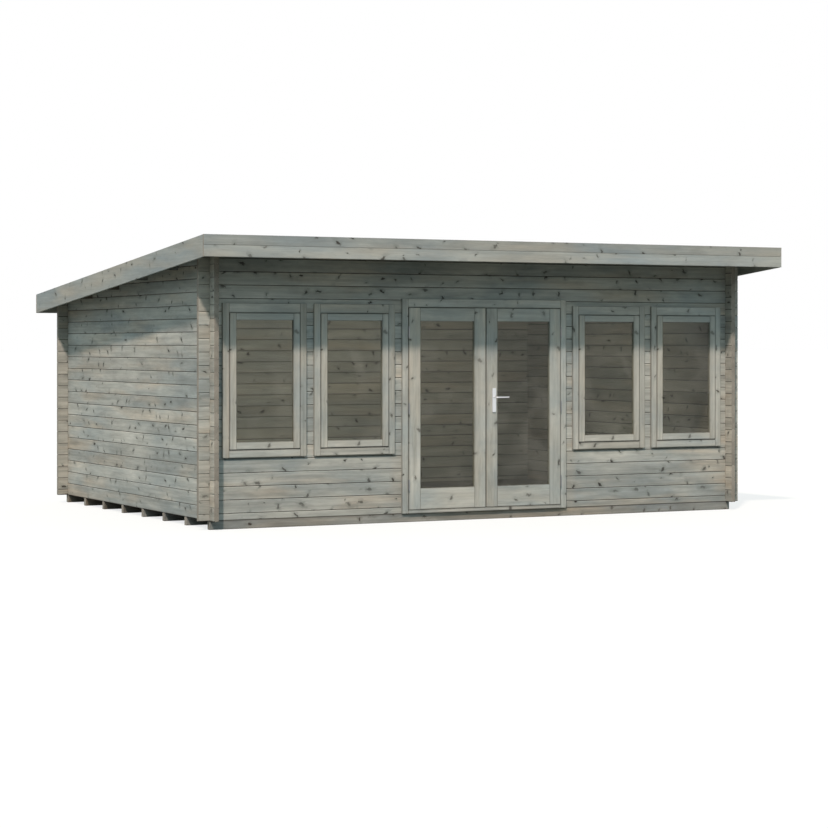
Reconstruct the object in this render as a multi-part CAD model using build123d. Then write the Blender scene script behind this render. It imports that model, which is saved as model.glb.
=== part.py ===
from build123d import *
import math
import os

os.makedirs("parts", exist_ok=True)

# A garden cabin of notched logs under a single-pitch roof. Millimetres.
# X runs along the front, with the doors in it, Y runs to the back and Z is up.
# The origin is on the ground, under the middle of the roof.

# Log walls, measured to their outer faces
WALL_W = 5300.0
WALL_D = 3800.0
LOG_T = 44.0
COURSE = 114.0
LOG_END = 100.0
EDGE_CUT = 4.0
EDGE_DEPTH = 5.0
RIDGE_H = 9.0

# Floor
BEARER_COUNT = 8
BEARER_W = 50.0
BEARER_H = 75.0
FLOOR_T = 19.0
FLOOR_EDGE = 2.0

# Roof
ROOF_ANGLE = 5.2
ROOF_TOP = 2472.0
EAVE_FRONT = 490.0
EAVE_REAR = 200.0
EAVE_SIDE = 250.0
FASCIA_T = 19.0
FASCIA_H = 184.0
DECK_T = 19.0
FELT_T = 3.0
PURLIN_COUNT = 4
PURLIN_W = 44.0
PURLIN_H = 120.0

# Windows, in pairs either side of the doors
WINDOW_W = 780.0
WINDOW_FIRST_COURSE = 5
WINDOW_LAST_COURSE = 16
WINDOW_BASE_RISE = 17.0
WINDOW_TOP_RISE = 75.0
WINDOW_HEAD_FACE = 80.0
POST_W = 70.0
SASH_STILE = 60.0

# Doors
DOOR_W = 1680.0
DOOR_LAST_COURSE = 16
DOOR_TOP_RISE = 14.0
DOOR_HEAD_FACE = 75.0
THRESHOLD_H = 30.0
LEAF_STILE = 114.0
LEAF_TOP_RAIL = 118.0
LEAF_BOTTOM_RAIL = 184.0

# Joinery shared by the windows and the doors
FRAME_FACE = 61.0
FRAME_LAP = 22.0
CASING_T = 18.0
STOP_W = 12.0
LEAF_T = 40.0
LEAF_PROUD = 4.0
GLASS_T = 4.0
GLASS_SETBACK = 12.0
GLASS_BITE = 10.0

# Hinges
HINGE_COUNT = 3
HINGE_INSET = 215.0
HINGE_L = 100.0
HINGE_R = 5.5
HINGE_PLATE_T = 1.8
HINGE_PLATE_D = 30.0

# Lever handle and its long plates
HANDLE_INSET = 76.0
HANDLE_Z = 1018.0
PLATE_W = 38.0
PLATE_TOP = 81.0
PLATE_BOTTOM = 135.0
PLATE_T = 8.0
PLATE_CORNER = 6.0
NECK_R = 9.0
LEVER_OUT = 48.0
LEVER_L = 140.0
LEVER_T = 11.0
LEVER_H = 18.0
SPINDLE_SIDE = 8.0
SPINDLE_HOLE_R = 8.0

# Clearances
SEAT = 0.3
NOTCH_SIDE = 0.5
FRAME_FIT = 0.3
JOINT_GAP = 0.2
SASH_GAP = 4.0
SASH_BASE_GAP = 8.0
LEAF_GAP = 5.0
MEETING_GAP = 8.0
GLASS_FIT = 0.3
GLASS_END_FIT = 2.0
NECK_FIT = 0.1
MIN_TAPER = 12.0

# Where the walls stand
LEFT = -WALL_W / 2
RIGHT = WALL_W / 2
FRONT = -(WALL_D + EAVE_FRONT + EAVE_REAR) / 2 + EAVE_FRONT
REAR = FRONT + WALL_D
BASE = BEARER_H
ROOF_FRONT = FRONT - EAVE_FRONT
ROOF_REAR = REAR + EAVE_REAR
ROOF_SIDE = RIGHT + EAVE_SIDE
SLOPE = math.tan(math.radians(ROOF_ANGLE))
UPRIGHT = 1 / math.cos(math.radians(ROOF_ANGLE))

# Joinery planes across the front wall, from outside to inside
CASING_FACE = FRONT - CASING_T - SEAT
LEAF_FACE = CASING_FACE - LEAF_PROUD
LEAF_BACK = LEAF_FACE + LEAF_T
WALL_INSIDE = FRONT + LOG_T

# Heights that follow the log courses
WINDOW_LINE = BASE + (WINDOW_FIRST_COURSE - 0.5) * COURSE
WINDOW_LOW = WINDOW_LINE + WINDOW_BASE_RISE
WINDOW_TOP = BASE + (WINDOW_LAST_COURSE - 0.5) * COURSE + WINDOW_TOP_RISE
DOOR_LINE = BASE + (DOOR_LAST_COURSE + 0.5) * COURSE
DOOR_TOP = DOOR_LINE + DOOR_TOP_RISE


def block(x0, x1, y0, y1, z0, z1):
    """A box between two corners."""
    centre = ((x0 + x1) / 2, (y0 + y1) / 2, (z0 + z1) / 2)
    return Pos(*centre) * Box(x1 - x0, y1 - y0, z1 - z0)


def prism_x(points, x0, x1):
    """An outline of (y, z) points run along X."""
    outline = make_face(Polyline(*[(x0, y, z) for y, z in points], close=True))
    return extrude(outline, amount=x1 - x0, dir=(1, 0, 0))


def prism_y(points, y0, y1):
    """An outline of (x, z) points run along Y."""
    outline = make_face(Polyline(*[(x, y0, z) for x, z in points], close=True))
    return extrude(outline, amount=y1 - y0, dir=(0, 1, 0))


def prism_z(points, z0, z1):
    """An outline of (x, y) points run along Z."""
    outline = make_face(Polyline(*[(x, y, z0) for x, y in points], close=True))
    return extrude(outline, amount=z1 - z0, dir=(0, 0, 1))


def write(node, solids):
    """Writes one node, whose solids don't touch each other."""
    flat = [s for item in solids for s in item.solids()]
    shape = flat[0] if len(flat) == 1 else Compound(children=flat)
    export_step(shape, f"parts/{node}.step")


def roof_height(y, below=0.0):
    """Height of the roof's top at y, less a thickness measured square to it."""
    return ROOF_TOP - (y - ROOF_FRONT) * SLOPE - below * UPRIGHT


def roof_layer(depth0, depth1, x0, x1, y0, y1):
    """A sheet that lies between two depths below the roof's top."""
    points = [(y0, roof_height(y0, depth1)), (y1, roof_height(y1, depth1)),
              (y1, roof_height(y1, depth0)), (y0, roof_height(y0, depth0))]
    return prism_x(points, x0, x1)


UNDERSIDE = FELT_T + DECK_T + 2 * SEAT
ABOVE_WALLS = prism_x([(ROOF_FRONT, roof_height(ROOF_FRONT, UNDERSIDE)),
                       (ROOF_REAR, roof_height(ROOF_REAR, UNDERSIDE)),
                       (ROOF_REAR, ROOF_TOP + COURSE), (ROOF_FRONT, ROOF_TOP + COURSE)],
                      -ROOF_SIDE, ROOF_SIDE)


def purlin_places():
    """Y of each purlin's middle, evenly between the front and rear walls."""
    pitch = WALL_D / (PURLIN_COUNT + 1)
    return [FRONT + pitch * (i + 1) for i in range(PURLIN_COUNT)]


def purlin_block(y, fit):
    """The space of one purlin, grown by a fit, before its top is cut to the slope."""
    low = roof_height(y, UNDERSIDE) - PURLIN_H - fit
    half = PURLIN_W / 2 + fit
    reach = ROOF_SIDE - FASCIA_T - SEAT
    return block(-reach, reach, y - half, y + half, low, ROOF_TOP)


# Log walls

def log_section(z0, z1):
    """A log's outline across its wall, outer face first: a ridge on top, its hollow below,
    and a bevel along the lower outer edge that makes the V joint."""
    half = LOG_T / 2
    rim = half - EDGE_DEPTH
    top = z1 - SEAT
    ridge_slope = (RIDGE_H + EDGE_CUT) / half
    lip = z0 - EDGE_CUT + EDGE_DEPTH * ridge_slope
    return [(-half, z0 + EDGE_CUT), (-rim, lip), (0, z0 + RIDGE_H), (half, z0 - EDGE_CUT),
            (half, top - EDGE_CUT), (0, top + RIDGE_H), (-half, top - EDGE_CUT)]


def starter_section(z0, z1):
    """A log that lies on the bearers, so its underside is flat."""
    half = LOG_T / 2
    return [(-half, z0), (half, z0)] + log_section(z0, z1)[4:]


def log_bar(run, outer, inward, a, b, z0, z1):
    """A log along X or Y from a to b."""
    section = starter_section(z0 + SEAT, z1) if z0 <= BASE else log_section(z0, z1)
    points = [(outer + inward * (LOG_T / 2 + t), z) for t, z in section]
    return prism_x(points, a, b) if run == "x" else prism_y(points, a, b)


def courses_below(height, lowest):
    """How many courses start below a height, counted from the lowest one's underside."""
    return math.ceil((height - MIN_TAPER - lowest) / COURSE)


def corner_notches(run, crossing, middle, centre):
    """Top and bottom notches where a wall crosses: the log keeps the middle half of its height."""
    across = LOG_T / 2 + NOTCH_SIDE
    wide = LOG_T
    keep = COURSE / 4 - SEAT / 2
    cuts = []
    for z0, z1 in ((centre + keep, centre + COURSE), (centre - COURSE, centre - keep)):
        if run == "x":
            cuts.append(block(crossing - across, crossing + across, middle - wide, middle + wide, z0, z1))
        else:
            cuts.append(block(middle - wide, middle + wide, crossing - across, crossing + across, z0, z1))
    return cuts


def cut_all(shape, cuts):
    """Removes the cuts that reach the shape's box."""
    for cut in cuts:
        a, b = shape.bounding_box(), cut.bounding_box()
        if all(p < q for p, q in zip(a.min, b.max)) and all(p < q for p, q in zip(b.min, a.max)):
            shape = shape - cut
    return shape


def window_places():
    """Left edge of each window's casing."""
    edge = DOOR_W / 2 + POST_W
    pair = (edge + WINDOW_W + POST_W, edge)
    return [-x - WINDOW_W for x in pair] + [x for x in reversed(pair)]


def front_gaps(course):
    """Spans that a window or the doorway takes out of a course of the front wall."""
    gaps = []
    if WINDOW_FIRST_COURSE <= course < WINDOW_LAST_COURSE:
        gaps += [(x + FRAME_LAP, x + WINDOW_W - FRAME_LAP) for x in window_places()]
    if course <= DOOR_LAST_COURSE:
        gaps.append((FRAME_LAP - DOOR_W / 2, DOOR_W / 2 - FRAME_LAP))
    return sorted(gaps)


def window_head_cuts():
    """Recesses in the log over each window that take the top of its frame."""
    top = WINDOW_TOP - FRAME_LAP
    return [block(x + FRAME_LAP, x + WINDOW_W - FRAME_LAP, FRONT - LOG_T, FRONT + 2 * LOG_T,
                  top - COURSE, top) for x in window_places()]


def long_wall_course(outer, inward, course, gaps):
    """One course of the front or rear wall, in as many pieces as its openings leave."""
    middle = outer + inward * LOG_T / 2
    centre = BASE + course * COURSE
    z0 = max(BASE, centre - COURSE / 2)
    z1 = centre + COURSE / 2
    ends = [LEFT - LOG_END] + [x for gap in gaps for x in gap] + [RIGHT + LOG_END]
    cuts = []
    for crossing in (LEFT + LOG_T / 2, RIGHT - LOG_T / 2):
        cuts += corner_notches("x", crossing, middle, centre)
    if gaps and course == WINDOW_LAST_COURSE:
        cuts += window_head_cuts()
    if z1 + RIDGE_H > roof_height(outer + inward * LOG_T, UNDERSIDE):
        cuts.append(ABOVE_WALLS)
    return [cut_all(log_bar("x", outer, inward, a, b, z0, z1), cuts)
            for a, b in zip(ends[::2], ends[1::2])]


def side_wall_course(outer, inward, course):
    """One course of a side wall, tapered by the roof where it reaches it."""
    middle = outer + inward * LOG_T / 2
    z0 = BASE + course * COURSE
    z1 = z0 + COURSE
    a, b = FRONT - LOG_END, REAR + LOG_END
    runout = ROOF_FRONT + (roof_height(ROOF_FRONT, UNDERSIDE) - z0 - MIN_TAPER) / SLOPE
    cuts = []
    for crossing in (FRONT + LOG_T / 2, REAR - LOG_T / 2):
        cuts += corner_notches("y", crossing, middle, z0 + COURSE / 2)
    if z1 + RIDGE_H > roof_height(b, UNDERSIDE):
        cuts.append(ABOVE_WALLS)
    cuts += [purlin_block(y, SEAT) for y in purlin_places()]
    return [cut_all(log_bar("y", outer, inward, a, min(b, runout), z0, z1), cuts)]


def front_wall():
    count = courses_below(roof_height(WALL_INSIDE, UNDERSIDE), BASE - COURSE / 2)
    courses = [long_wall_course(FRONT, 1, n, front_gaps(n)) for n in range(count)]
    write("front_wall_even_logs", sum(courses[0::2], []))
    write("front_wall_odd_logs", sum(courses[1::2], []))


def rear_wall():
    count = courses_below(roof_height(REAR, UNDERSIDE), BASE - COURSE / 2)
    courses = [long_wall_course(REAR, -1, n, []) for n in range(count)]
    write("rear_wall_even_logs", sum(courses[0::2], []))
    write("rear_wall_odd_logs", sum(courses[1::2], []))


def side_walls():
    count = courses_below(roof_height(FRONT - LOG_END, UNDERSIDE), BASE)
    for name, outer, inward in (("left", LEFT, 1), ("right", RIGHT, -1)):
        courses = [side_wall_course(outer, inward, n) for n in range(count)]
        write(f"{name}_wall_even_logs", sum(courses[0::2], []))
        write(f"{name}_wall_odd_logs", sum(courses[1::2], []))


# Floor

def floor():
    pitch = (WALL_D - BEARER_W) / (BEARER_COUNT - 1)
    bearers = []
    for i in range(BEARER_COUNT):
        y = FRONT + pitch * i
        bearers.append(block(LEFT, RIGHT, y, y + BEARER_W, 0, BEARER_H))
    write("floor_bearers", bearers)
    edge = LOG_T + FLOOR_EDGE
    write("floor_boards", [block(LEFT + edge, RIGHT - edge, FRONT + edge, REAR - edge,
                                 BASE + SEAT, BASE + SEAT + FLOOR_T)])


# Roof

def roof():
    purlins = [cut_all(purlin_block(y, 0.0), [ABOVE_WALLS]) for y in purlin_places()]
    write("purlins", purlins)
    inner_x = ROOF_SIDE - FASCIA_T - SEAT
    inner_y = (ROOF_FRONT + FASCIA_T + SEAT, ROOF_REAR - FASCIA_T - SEAT)
    write("roof_boards", [roof_layer(FELT_T + SEAT, FELT_T + SEAT + DECK_T, -inner_x, inner_x, *inner_y)])
    write("roof_felt", [roof_layer(0, FELT_T, -inner_x, inner_x, *inner_y)])
    top_rear = roof_height(ROOF_REAR)
    write("front_fascia", [block(-ROOF_SIDE, ROOF_SIDE, ROOF_FRONT, ROOF_FRONT + FASCIA_T,
                                 ROOF_TOP - FASCIA_H, ROOF_TOP)])
    write("rear_fascia", [block(-ROOF_SIDE, ROOF_SIDE, ROOF_REAR - FASCIA_T, ROOF_REAR,
                                top_rear - FASCIA_H, top_rear)])
    depth = FASCIA_H / UPRIGHT
    for name, x0 in (("left", -ROOF_SIDE), ("right", ROOF_SIDE - FASCIA_T)):
        write(f"{name}_fascia", [roof_layer(0, depth, x0, x0 + FASCIA_T, *inner_y)])


# Windows and doors

def glazed_leaf(x0, x1, z0, z1, stile, bottom_rail, top_rail):
    """Two stiles, two rails and the pane in their grooves."""
    groove_y = LEAF_FACE + GLASS_SETBACK + GLASS_T / 2
    groove_half = GLASS_T / 2 + GLASS_FIT
    deep = GLASS_BITE + GLASS_END_FIT
    gx0, gx1 = x0 + stile, x1 - stile
    gz0, gz1 = z0 + bottom_rail, z1 - top_rail
    groove = block(gx0 - deep, gx1 + deep, groove_y - groove_half, groove_y + groove_half,
                   gz0 - deep, gz1 + deep)
    members = [block(x0, gx0, LEAF_FACE, LEAF_BACK, z0, z1),
               block(gx1, x1, LEAF_FACE, LEAF_BACK, z0, z1),
               block(gx0 + JOINT_GAP, gx1 - JOINT_GAP, LEAF_FACE, LEAF_BACK, z0, gz0),
               block(gx0 + JOINT_GAP, gx1 - JOINT_GAP, LEAF_FACE, LEAF_BACK, gz1, z1)]
    pane = block(gx0 - GLASS_BITE, gx1 + GLASS_BITE, groove_y - GLASS_T / 2, groove_y + GLASS_T / 2,
                 gz0 - GLASS_BITE, gz1 + GLASS_BITE)
    return [member - groove for member in members], pane


def jamb(x0, inward, z0, z1, stop_y):
    """An upright of a frame: its back to the logs, and a stop behind the leaf."""
    back = x0 + inward * (FRAME_LAP + FRAME_FIT)
    face = x0 + inward * FRAME_FACE
    stop = face + inward * STOP_W
    points = [(back, FRONT), (face, FRONT), (face, stop_y), (stop, stop_y),
              (stop, WALL_INSIDE), (back, WALL_INSIDE)]
    return prism_z(points, z0, z1)


def crosspiece(x0, x1, edge, face, toward, stop_y, stop):
    """A head or sill between two jambs, cut round their stops."""
    lip = face + toward * stop
    points = [(FRONT, edge), (FRONT, face), (stop_y, face), (stop_y, lip),
              (WALL_INSIDE, lip), (WALL_INSIDE, edge)]
    low, high = min(edge, lip) - COURSE, max(edge, lip) + COURSE
    bar = prism_x(points, x0 + JOINT_GAP, x1 - JOINT_GAP)
    for a, b in ((x0 - STOP_W, x0 + STOP_W + JOINT_GAP), (x1 - STOP_W - JOINT_GAP, x1 + STOP_W)):
        bar = bar - block(a, b, stop_y - JOINT_GAP, WALL_INSIDE + STOP_W, low, high)
    return bar


def casings(x0, width, z0, z1, head, sill, y0, extra):
    """Flat boards round an opening: two uprights, a head and, on a window, a sill."""
    y1 = y0 + CASING_T
    face = FRAME_FACE + extra
    boards = [block(x0, x0 + face, y0, y1, z0, z1),
              block(x0 + width - face, x0 + width, y0, y1, z0, z1),
              block(x0 + face + JOINT_GAP, x0 + width - face - JOINT_GAP, y0, y1, z1 - head - extra, z1)]
    if sill:
        boards.append(block(x0 + face + JOINT_GAP, x0 + width - face - JOINT_GAP, y0, y1,
                            z0, z0 + sill + extra))
    return boards


def window(number, x0):
    """One window: frame, sash and pane. Returns its outer and inner casings."""
    x1 = x0 + WINDOW_W
    z0, z1 = WINDOW_LOW, WINDOW_TOP
    stop_y = LEAF_BACK + SEAT
    ledge = WINDOW_LINE + RIDGE_H
    frame_top = z1 - FRAME_LAP - FRAME_FIT
    inner = (x0 + FRAME_FACE, x1 - FRAME_FACE)
    members = [jamb(x0, 1, ledge, frame_top, stop_y), jamb(x1, -1, ledge, frame_top, stop_y),
               crosspiece(*inner, ledge, z0 + FRAME_FACE, 1, stop_y, STOP_W),
               crosspiece(*inner, frame_top, z1 - WINDOW_HEAD_FACE, -1, stop_y, STOP_W)]
    write(f"window_{number}_frame", members)
    sash, pane = glazed_leaf(inner[0] + SASH_GAP, inner[1] - SASH_GAP, z0 + FRAME_FACE + SASH_BASE_GAP,
                             z1 - WINDOW_HEAD_FACE - SASH_GAP, SASH_STILE, SASH_STILE, SASH_STILE)
    write(f"window_{number}_sash", sash)
    write(f"window_{number}_glass", [pane])
    outside = casings(x0, WINDOW_W, z0, z1, WINDOW_HEAD_FACE, FRAME_FACE, CASING_FACE, 0.0)
    inside = casings(x0, WINDOW_W, z0 - 2 * FRAME_LAP, z1, WINDOW_HEAD_FACE, FRAME_FACE + 2 * FRAME_LAP,
                     WALL_INSIDE + SEAT, STOP_W)
    return outside, inside


def windows():
    outside, inside = [], []
    for i, x0 in enumerate(window_places()):
        outer, inner = window(i + 1, x0)
        outside += outer
        inside += inner
    return outside, inside


def door_frame():
    """Jambs, head and threshold. Returns the doorway's outer and inner casings."""
    x0, x1 = -DOOR_W / 2, DOOR_W / 2
    z1 = DOOR_TOP
    stop_y = LEAF_BACK + LEAF_GAP
    frame_top = DOOR_LINE - EDGE_CUT - SEAT
    low = BASE + SEAT
    inner = (x0 + FRAME_FACE, x1 - FRAME_FACE)
    write("door_jambs", [jamb(x0, 1, low, frame_top, stop_y), jamb(x1, -1, low, frame_top, stop_y)])
    write("door_head", [crosspiece(*inner, frame_top, z1 - DOOR_HEAD_FACE, -1, stop_y, STOP_W)])
    write("door_threshold", [block(inner[0] + JOINT_GAP, inner[1] - JOINT_GAP, LEAF_FACE,
                                   stop_y - JOINT_GAP, low, BASE + THRESHOLD_H)])
    outside = casings(x0, DOOR_W, low, z1, DOOR_HEAD_FACE, 0, CASING_FACE, 0.0)
    inside = casings(x0, DOOR_W, low + FLOOR_T + SEAT, z1, DOOR_HEAD_FACE, 0, WALL_INSIDE + SEAT, STOP_W)
    return outside, inside


def hinge_halves(axis_x, axis_y, toward_leaf, z):
    """A hinge's frame half, whose knuckle is below, and its leaf half, which rests on it."""
    edge = LEAF_GAP / 2 - JOINT_GAP
    reach = HINGE_R + SEAT + HINGE_PLATE_D
    half = HINGE_L / 2

    def half_hinge(side, z0, z1):
        outer = axis_x + side * edge
        inner = outer - side * HINGE_PLATE_T
        x0, x1 = min(outer, inner), max(outer, inner)
        strap = block(x0, x1, axis_y + HINGE_R + SEAT, axis_y + reach, z - half, z + half)
        web = block(x0, x1, axis_y, axis_y + HINGE_R + SEAT, z0, z1)
        return strap + web + Pos(axis_x, axis_y, (z0 + z1) / 2) * Cylinder(HINGE_R, z1 - z0)

    return half_hinge(-toward_leaf, z - half, z - SEAT), half_hinge(toward_leaf, z, z + half)


def lever(x, z):
    """Both levers on one square spindle through the leaf."""
    half = LEVER_H / 2
    levers = Pos(x, (LEAF_FACE + LEAF_BACK) / 2, z) * Box(SPINDLE_SIDE, LEAF_T, SPINDLE_SIDE)
    for face, outward in ((LEAF_FACE, -1), (LEAF_BACK, 1)):
        end = face + outward * (PLATE_T + LEVER_OUT)
        inner = end - outward * LEVER_T
        neck = Pos(x, (face + inner) / 2, z) * Rot(90, 0, 0) * Cylinder(NECK_R, abs(inner - face))
        grip = extrude(SlotOverall(LEVER_L, LEVER_H), LEVER_T / 2, both=True)
        grip = Pos(x + LEVER_L / 2 - half, (inner + end) / 2, z) * Rot(90, 0, 0) * grip
        levers = levers + neck + grip
    return levers


def handle_plates(x, z):
    """Long plates on both faces of the leaf, bored for the lever's neck."""
    plates = []
    for face, outward in ((LEAF_FACE, -1), (LEAF_BACK, 1)):
        y0, y1 = sorted((face + outward * SEAT, face + outward * PLATE_T))
        body = block(x - PLATE_W / 2, x + PLATE_W / 2, y0, y1, z - PLATE_BOTTOM, z + PLATE_TOP)
        body = chamfer(body.edges().filter_by(Axis.Y), PLATE_CORNER)
        bore = Pos(x, (y0 + y1) / 2, z) * Rot(90, 0, 0) * Cylinder(NECK_R + NECK_FIT, 2 * PLATE_T)
        plates.append(body - bore)
    return plates


def doors():
    """Two glazed leaves that open outwards, their hinges, and the lever on the right one."""
    z0 = BASE + THRESHOLD_H + LEAF_GAP
    z1 = DOOR_TOP - DOOR_HEAD_FACE - LEAF_GAP
    edge = DOOR_W / 2 - FRAME_FACE
    axis_y = LEAF_FACE - HINGE_R - SEAT
    handle = (MEETING_GAP / 2 + HANDLE_INSET, BASE + HANDLE_Z)
    hole = Pos(handle[0], (LEAF_FACE + LEAF_BACK) / 2, handle[1]) * Rot(90, 0, 0)
    hole = hole * Cylinder(SPINDLE_HOLE_R, 2 * LEAF_T)
    hinge_z = [z0 + HINGE_INSET + i * (z1 - z0 - 2 * HINGE_INSET) / (HINGE_COUNT - 1)
               for i in range(HINGE_COUNT)]
    frame_halves = []
    for name, side in (("left", -1), ("right", 1)):
        x0, x1 = sorted((side * (edge - LEAF_GAP), side * MEETING_GAP / 2))
        members, pane = glazed_leaf(x0, x1, z0, z1, LEAF_STILE, LEAF_BOTTOM_RAIL, LEAF_TOP_RAIL)
        if side == 1:
            members = [cut_all(member, [hole]) for member in members]
        write(f"{name}_door_leaf", members)
        write(f"{name}_door_glass", [pane])
        pairs = [hinge_halves(side * (edge - LEAF_GAP / 2), axis_y, -side, z) for z in hinge_z]
        frame_halves += [pair[0] for pair in pairs]
        write(f"{name}_leaf_hinges", [pair[1] for pair in pairs])
    write("frame_hinges", frame_halves)
    write("handle_plates", handle_plates(*handle))
    write("lever_handle", [lever(*handle)])


floor()
front_wall()
rear_wall()
side_walls()
roof()
window_casings = windows()
door_casings = door_frame()
write("outer_casings", window_casings[0] + door_casings[0])
write("inner_casings", window_casings[1] + door_casings[1])
doors()
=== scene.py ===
import math
import random

import bmesh
import bpy
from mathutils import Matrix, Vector


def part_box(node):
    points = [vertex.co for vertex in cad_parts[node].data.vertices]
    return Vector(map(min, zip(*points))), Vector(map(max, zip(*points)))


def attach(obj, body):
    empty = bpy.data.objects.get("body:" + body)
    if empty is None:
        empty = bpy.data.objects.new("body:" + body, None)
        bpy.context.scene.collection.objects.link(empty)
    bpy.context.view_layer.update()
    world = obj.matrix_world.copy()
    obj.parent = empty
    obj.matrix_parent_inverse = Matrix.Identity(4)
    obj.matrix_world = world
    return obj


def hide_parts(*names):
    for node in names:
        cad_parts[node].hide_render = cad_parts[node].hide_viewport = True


# The looks of a weathered garden cabin of notched logs, around its fixed frame. Metres, Z up,
# X along the front, Y to the back. Each timber piece is its frame node with eased edges.

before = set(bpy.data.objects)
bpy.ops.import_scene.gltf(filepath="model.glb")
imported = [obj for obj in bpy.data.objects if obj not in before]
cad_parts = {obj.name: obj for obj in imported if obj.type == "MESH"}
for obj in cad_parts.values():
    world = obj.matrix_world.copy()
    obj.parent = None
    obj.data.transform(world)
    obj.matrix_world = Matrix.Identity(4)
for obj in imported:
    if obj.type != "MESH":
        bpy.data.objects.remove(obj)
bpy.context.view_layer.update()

MM = 0.001
SEED = 7
WELD = 0.02 * MM

# Eased edges: faces that meet flatter than FLAT are one face, edges sharper than SHARP are eased
LOG_ARRIS = 1.6 * MM
JOINERY_ARRIS = 2.5 * MM
BOARD_ARRIS = 2.0 * MM
ROUGH_ARRIS = 1.2 * MM
PLATE_ARRIS = 1.0 * MM
FLAT = math.radians(0.6)
SHARP = math.radians(20)

# Boards of the roof and the floor
ROOF_BOARD_W = 96 * MM
FLOOR_BOARD_W = 114 * MM
BOARD_GAP = 0.1 * MM

# Felt, in strips that lap towards the low side
FELT_STRIP = 0.9
FELT_STEP = 1.8 * MM

# Front and rear fascias are two boards, one above the other
FASCIA_JOINT = 1.0 * MM
FASCIA_UPPER_SHARE = 0.47

# Nails, with low domed heads
NAIL_R = 3.5 * MM
NAIL_PROUD = 0.6 * MM
NAIL_SIDES = 10
NAIL_TOP_SHARE = 0.8
NAIL_TWIST = 3.1
NAIL_EDGE = 28 * MM
FASCIA_NAIL_PITCH = 0.6
CASING_NAIL_PITCH = 0.42
CLOUT_R = 5.0 * MM
CLOUT_PITCH = 0.05
CLOUT_EDGE = 25 * MM

# Lever: a neck that starts inside its plate, a bend and a grip with a domed end
LEVER_R = 7.5 * MM
LEVER_BEND = 15 * MM
LEVER_ROOT = 2 * MM
LEVER_SIDES = 20
BEND_ANGLES = [math.radians(d) for d in range(0, 91, 15)]
GRIP_STATIONS = (0.04, 0.07, 0.10)
DOME_ANGLES = [math.radians(d) for d in (30, 60, 80)]
DOME_SHARE = 0.6
SMOOTH_BELOW = math.radians(40)

# Collars and screws, as discs with a rim eased by a share of their thickness
ROSE_R = 13 * MM
ROSE_T = 3 * MM
ROSE_SIDES = 28
SCREW_R = 3.6 * MM
SCREW_SIDES = 16
SCREW_EDGE = 12 * MM
SCREW_SINK = 1.0 * MM
SCREW_PROUD = 0.8 * MM
RIM_SHARE = 0.2
RIM_SHARP = math.radians(50)

# The photograph's camera, level and shifted
CAMERA_AT = Vector((-9.771, -19.480, 1.565))
CAMERA_YAW = -27.065
CAMERA_LENS = 98.03
SENSOR = 36.0
HORIZON_SHIFT = -0.0839
VIEW_END = 1000

# Light: a soft warm sun from the front left, and a cooler sky that is dim at the horizon and at
# its full level from where the sine of the elevation is SKY_FULL
SUN_TO = Vector((-0.3985, -0.480, 0.7815))
SUN_STRENGTH = 3.84
SUN_SOFTNESS = 3.2
SUN_COLOUR = "#FFE9DF"
SKY_LOW = 0.10
SKY_HIGH = 1.10
SKY_FULL = 0.40
SKY_COLOUR = "#DEF3FF"
WHITE = (1.0, 1.0, 1.0, 1.0)

# Studio floor: a grey paint that takes a faint shadow, and a glow that lifts it to white
FLOOR_PAINT = "#6E706B"
FLOOR_GLOW = 0.77
FLOOR_REACH = 400

# The daylight of the windows, as a panel just inside the front wall
ROOM_FILL = 118.0
ROOM_FILL_WIDTH = 3.2
ROOM_FILL_HEIGHT = 1.5
ROOM_FILL_X = -0.5
ROOM_FILL_Z = 1.25
ROOM_FILL_INSET = 0.1


def placed(name, data):
    """A new object in the scene."""
    made = bpy.data.objects.new(name, data)
    bpy.context.scene.collection.objects.link(made)
    return made


def colour(code):
    """sRGB hex to linear RGBA."""
    parts = [int(code[i:i + 2], 16) / 255 for i in (1, 3, 5)]
    linear = [c / 12.92 if c <= 0.04045 else ((c + 0.055) / 1.055) ** 2.4 for c in parts]
    return (*linear, 1.0)


def add(tree, kind, inputs=None, **settings):
    """Adds a node. An input's value is a plain value or another node's output."""
    made = tree.nodes.new(kind)
    for name, value in settings.items():
        setattr(made, name, value)
    for key, value in (inputs or {}).items():
        if isinstance(value, bpy.types.NodeSocket):
            tree.links.new(value, made.inputs[key])
        else:
            made.inputs[key].default_value = value
    return made


def new_material(name):
    """An empty material and its node tree."""
    material = bpy.data.materials.new(name)
    material.use_nodes = True
    material.node_tree.nodes.clear()
    return material, material.node_tree


# What the timber and felt finishes read from the mesh: grain is metres along the grain, across
# it and through it, from the middle of each piece, and reach is half the piece's size the same
# three ways. Piece is a chance value for each piece. End and indoors are 1 on such faces.
MARKS = {"grain": "Vector", "reach": "Vector", "piece": "Fac", "end": "Fac", "indoors": "Fac"}


def marks(tree, *names):
    """The output of each named mark."""
    return [add(tree, "ShaderNodeAttribute", attribute_name=name).outputs[MARKS[name]]
            for name in names]


def insets(tree, grain, reach):
    """How far in from the piece's tips, its long edges and its wide faces."""
    away = add(tree, "ShaderNodeVectorMath", {0: grain}, operation="ABSOLUTE").outputs[0]
    inset = add(tree, "ShaderNodeVectorMath", {0: reach, 1: away}, operation="SUBTRACT").outputs[0]
    return add(tree, "ShaderNodeSeparateXYZ", {0: inset}).outputs


def drawn_out(tree, vector, stretch, noise):
    """Noise with so many repeats to the metre along three axes, and its other inputs."""
    space = add(tree, "ShaderNodeVectorMath", {0: vector, 1: stretch},
                operation="MULTIPLY").outputs[0]
    return add(tree, "ShaderNodeTexNoise", {"Vector": space, "Scale": 1.0, **noise}).outputs["Fac"]


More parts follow.
